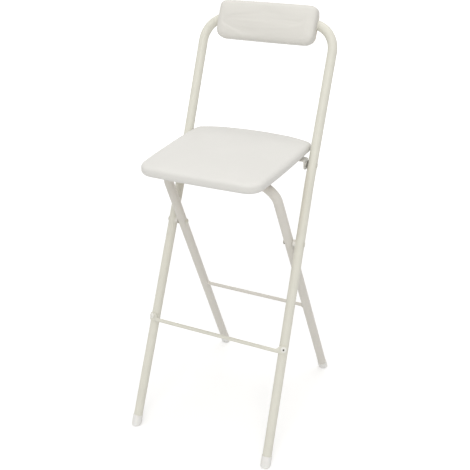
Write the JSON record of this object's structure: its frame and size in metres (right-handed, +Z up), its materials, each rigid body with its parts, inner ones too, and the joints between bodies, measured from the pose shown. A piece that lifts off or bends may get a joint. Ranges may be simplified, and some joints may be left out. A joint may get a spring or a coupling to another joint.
{
  "type": "folding bar stool",
  "caption": "Folding bar stool of bent white steel tube with a scissor pivot, a flip-up padded seat, a padded backrest and a footrest.",
  "frame": {"origin": "on the floor, under the middle of the footprint", "axes": "+Z up, the sitter faces -Y, +X to the right of a viewer who looks at the front"},
  "size_m": [0.3844, 0.483, 1.0047],
  "materials": {
    "frame_paint": "warm white powder coat, slight gloss",
    "painted_rivet": "steel rivet, painted with the frame",
    "plated_steel": "zinc plated screw",
    "vinyl": "off-white vinyl with a fine grain over foam",
    "board": "raw plywood underside",
    "foot_plastic": "translucent white soft plastic",
    "spacer_plastic": "white nylon"
  },
  "bodies": {
    "back_frame": {"back_frame_tube": "frame_paint", "backrest_board": "board", "backrest_bolts": "plated_steel", "backrest_cushion": "vinyl", "footrest_bar": "frame_paint", "footrest_bolts": "plated_steel", "front_foot_left": "foot_plastic", "front_foot_right": "foot_plastic", "pivot_rivet_left": "painted_rivet", "pivot_rivet_right": "painted_rivet", "pivot_spacer_left": "spacer_plastic", "pivot_spacer_right": "spacer_plastic", "seat_hinge_rivet_left": "painted_rivet", "seat_hinge_rivet_right": "painted_rivet", "seat_hinge_washer_left": "spacer_plastic", "seat_hinge_washer_right": "spacer_plastic"},
    "leg_frame": {"leg_frame_tube": "frame_paint", "rear_stretcher": "frame_paint", "rear_foot_left": "foot_plastic", "rear_foot_right": "foot_plastic"},
    "seat": {"seat_board": "board", "seat_cushion": "vinyl", "seat_hinge_strap": "frame_paint", "strap_screws": "plated_steel", "hook_screws": "plated_steel", "crossbar_hook_left": "frame_paint", "crossbar_hook_right": "frame_paint"}
  },
  "joints": [
    {"name": "leg_fold", "type": "hinge", "parent": "back_frame", "child": "leg_frame", "pos_m": [0, -0.02962, 0.49363], "axis": [-1, 0, 0], "range_deg": [0, 49]},
    {"name": "seat_fold", "type": "hinge", "parent": "back_frame", "child": "seat", "pos_m": [0, 0.0397, 0.66521], "axis": [-1, 0, 0], "range_deg": [0, 113]}
  ],
  "couplings": [
    {"joint": "seat_fold", "follows": "leg_fold", "ratio": 2.3}
  ]
}
